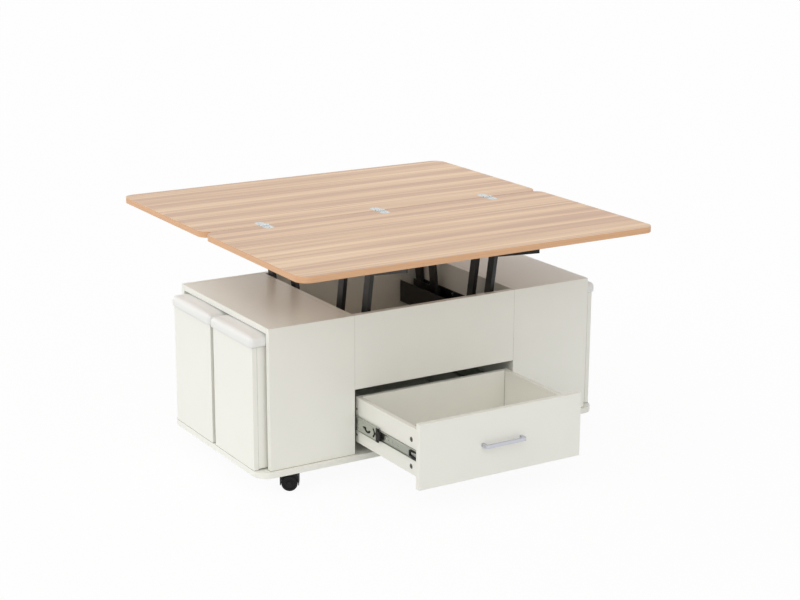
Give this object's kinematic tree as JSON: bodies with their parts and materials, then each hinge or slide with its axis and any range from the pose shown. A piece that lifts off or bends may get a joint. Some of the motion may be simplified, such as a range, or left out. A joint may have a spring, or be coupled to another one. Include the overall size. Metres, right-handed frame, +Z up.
{
  "type": "convertible coffee dining table",
  "caption": "Coffee table on casters whose fold-over top lifts on arms and unfolds into a dining table, with a drawer and nesting padded stools in open ends.",
  "frame": {"origin": "on the floor under the centre of the cabinet", "axes": "+X along the table to the right as seen from the drawer side, +Y to the rear, +Z up"},
  "size_m": [1.2146, 1.304, 0.7243],
  "materials": {
    "white_board": "white melamine faced board, satin",
    "oak_board": "light oak woodgrain laminate, satin",
    "black_steel": "black powder coat",
    "zinc": "zinc plated",
    "handle_metal": "satin silver",
    "black_plastic": "moulded black",
    "rubber": "matt black",
    "leatherette": "smooth white leatherette over foam"
  },
  "bodies": {
    "cabinet": {"base_board": "white_board", "front_panel_left": "white_board", "front_panel_right": "white_board", "rear_panel": "white_board", "apron_panel": "white_board", "partition_left": "white_board", "partition_right": "white_board", "block_top_left": "white_board", "block_top_right": "white_board", "compartment_shelf": "white_board", "lift_channels": "black_steel", "pivot_plates": "black_steel", "lower_pivot_pins": "black_steel", "channel_screws": "zinc", "runner_outer_members": "zinc", "caster_plates": "black_steel"},
    "drawer": {"drawer_front": "white_board", "drawer_side_left": "white_board", "drawer_side_right": "white_board", "drawer_back": "white_board", "drawer_bottom": "white_board", "drawer_handle": "handle_metal", "drawer_cam_locks": "zinc", "runner_inner_members": "zinc"},
    "runner_middle": {"runner_middle_members": "zinc", "runner_stop_clips": "black_plastic"},
    "front_platform": {"front_leaf": "oak_board", "front_brackets": "black_steel", "front_bracket_screws": "zinc", "front_pivot_pins": "black_steel", "hinge_plates_front": "zinc", "hinge_screws_front": "zinc", "hinge_pins": "zinc"},
    "rear_leaf": {"rear_leaf": "oak_board", "hinge_plates_rear": "zinc", "hinge_screws_rear": "zinc"},
    "rear_platform": {"rear_brackets": "black_steel", "rear_cross_bar": "black_steel", "rear_pads": "rubber", "rear_pivot_pins": "black_steel"},
    "front_arms_outer": {"front_arms_outer": "black_steel"},
    "front_arms_inner": {"front_arms_inner": "black_steel"},
    "rear_arms_inner": {"rear_arms_inner": "black_steel"},
    "rear_arms_outer": {"rear_arms_outer": "black_steel"},
    "stool_front_left": {"stool_front_left_carcass": "white_board", "stool_front_left_cushion": "leatherette"},
    "stool_rear_left": {"stool_rear_left_carcass": "white_board", "stool_rear_left_cushion": "leatherette"},
    "stool_front_right": {"stool_front_right_carcass": "white_board", "stool_front_right_cushion": "leatherette"},
    "stool_rear_right": {"stool_rear_right_carcass": "white_board", "stool_rear_right_cushion": "leatherette"},
    "caster_front_left_swivel": {"caster_front_left_hood": "black_plastic"},
    "caster_front_left_roll": {"caster_front_left_wheels": "black_plastic"},
    "caster_rear_left_swivel": {"caster_rear_left_hood": "black_plastic"},
    "caster_rear_left_roll": {"caster_rear_left_wheels": "black_plastic"},
    "caster_front_right_swivel": {"caster_front_right_hood": "black_plastic"},
    "caster_front_right_roll": {"caster_front_right_wheels": "black_plastic"},
    "caster_rear_right_swivel": {"caster_rear_right_hood": "black_plastic"},
    "caster_rear_right_roll": {"caster_rear_right_wheels": "black_plastic"}
  },
  "joints": [
    {"name": "lift", "type": "hinge", "parent": "cabinet", "child": "front_arms_outer", "pos_m": [0, -0.22808, 0.405], "axis": [-1, 0, 0], "range_deg": [0, 94.23]},
    {"name": "front_inner_follow", "type": "hinge", "parent": "cabinet", "child": "front_arms_inner", "pos_m": [0, -0.11208, 0.405], "axis": [-1, 0, 0], "range_deg": [0, 94.23]},
    {"name": "front_level", "type": "hinge", "parent": "front_arms_outer", "child": "front_platform", "pos_m": [0, -0.26682, 0.624], "axis": [-1, 0, 0], "range_deg": [-94.23, 0]},
    {"name": "rear_outer_follow", "type": "hinge", "parent": "cabinet", "child": "rear_arms_outer", "pos_m": [0, 0.22808, 0.405], "axis": [1, 0, 0], "range_deg": [0, 94.23]},
    {"name": "rear_inner_follow", "type": "hinge", "parent": "cabinet", "child": "rear_arms_inner", "pos_m": [0, 0.11208, 0.405], "axis": [1, 0, 0], "range_deg": [0, 94.23]},
    {"name": "rear_level", "type": "hinge", "parent": "rear_arms_outer", "child": "rear_platform", "pos_m": [0, 0.26682, 0.624], "axis": [1, 0, 0], "range_deg": [-94.23, 0]},
    {"name": "leaf_fold", "type": "hinge", "parent": "front_platform", "child": "rear_leaf", "pos_m": [0, 0.04, 0.7203], "axis": [1, 0, 0], "range_deg": [0, 180]},
    {"name": "drawer_slide", "type": "slide", "parent": "cabinet", "child": "drawer", "axis": [0, 1, 0], "range_m": [0, 0.35]},
    {"name": "runner_follow", "type": "slide", "parent": "cabinet", "child": "runner_middle", "axis": [0, 1, 0], "range_m": [0, 0.175]},
    {"name": "stool_front_left_pull", "type": "slide", "parent": "cabinet", "child": "stool_front_left", "axis": [-1, 0, 0], "range_m": [0, 0.4]},
    {"name": "stool_rear_left_pull", "type": "slide", "parent": "cabinet", "child": "stool_rear_left", "axis": [-1, 0, 0], "range_m": [0, 0.4]},
    {"name": "stool_front_right_pull", "type": "slide", "parent": "cabinet", "child": "stool_front_right", "axis": [1, 0, 0], "range_m": [0, 0.4]},
    {"name": "stool_rear_right_pull", "type": "slide", "parent": "cabinet", "child": "stool_rear_right", "axis": [1, 0, 0], "range_m": [0, 0.4]},
    {"name": "caster_front_left_swivel", "type": "hinge", "parent": "cabinet", "child": "caster_front_left_swivel", "pos_m": [-0.466, -0.264, 0.0595], "axis": [0, 0, 1], "continuous": true},
    {"name": "caster_front_left_roll", "type": "hinge", "parent": "caster_front_left_swivel", "child": "caster_front_left_roll", "pos_m": [-0.48048, -0.25509, 0.024], "axis": [0.524, 0.8517, 0], "continuous": true},
    {"name": "caster_rear_left_swivel", "type": "hinge", "parent": "cabinet", "child": "caster_rear_left_swivel", "pos_m": [-0.466, 0.264, 0.0595], "axis": [0, 0, 1], "continuous": true},
    {"name": "caster_rear_left_roll", "type": "hinge", "parent": "caster_rear_left_swivel", "child": "caster_rear_left_roll", "pos_m": [-0.48048, 0.27291, 0.024], "axis": [0.524, 0.8517, 0], "continuous": true},
    {"name": "caster_front_right_swivel", "type": "hinge", "parent": "cabinet", "child": "caster_front_right_swivel", "pos_m": [0.466, -0.264, 0.0595], "axis": [0, 0, 1], "continuous": true},
    {"name": "caster_front_right_roll", "type": "hinge", "parent": "caster_front_right_swivel", "child": "caster_front_right_roll", "pos_m": [0.45152, -0.25509, 0.024], "axis": [0.524, 0.8517, 0], "continuous": true},
    {"name": "caster_rear_right_swivel", "type": "hinge", "parent": "cabinet", "child": "caster_rear_right_swivel", "pos_m": [0.466, 0.264, 0.0595], "axis": [0, 0, 1], "continuous": true},
    {"name": "caster_rear_right_roll", "type": "hinge", "parent": "caster_rear_right_swivel", "child": "caster_rear_right_roll", "pos_m": [0.45152, 0.27291, 0.024], "axis": [0.524, 0.8517, 0], "continuous": true}
  ],
  "couplings": [
    {"joint": "front_inner_follow", "follows": "lift", "ratio": 1},
    {"joint": "front_level", "follows": "lift", "ratio": -1},
    {"joint": "rear_outer_follow", "follows": "lift", "ratio": 1},
    {"joint": "rear_inner_follow", "follows": "lift", "ratio": 1},
    {"joint": "rear_level", "follows": "lift", "ratio": -1},
    {"joint": "runner_follow", "follows": "drawer_slide", "ratio": 0.5}
  ]
}
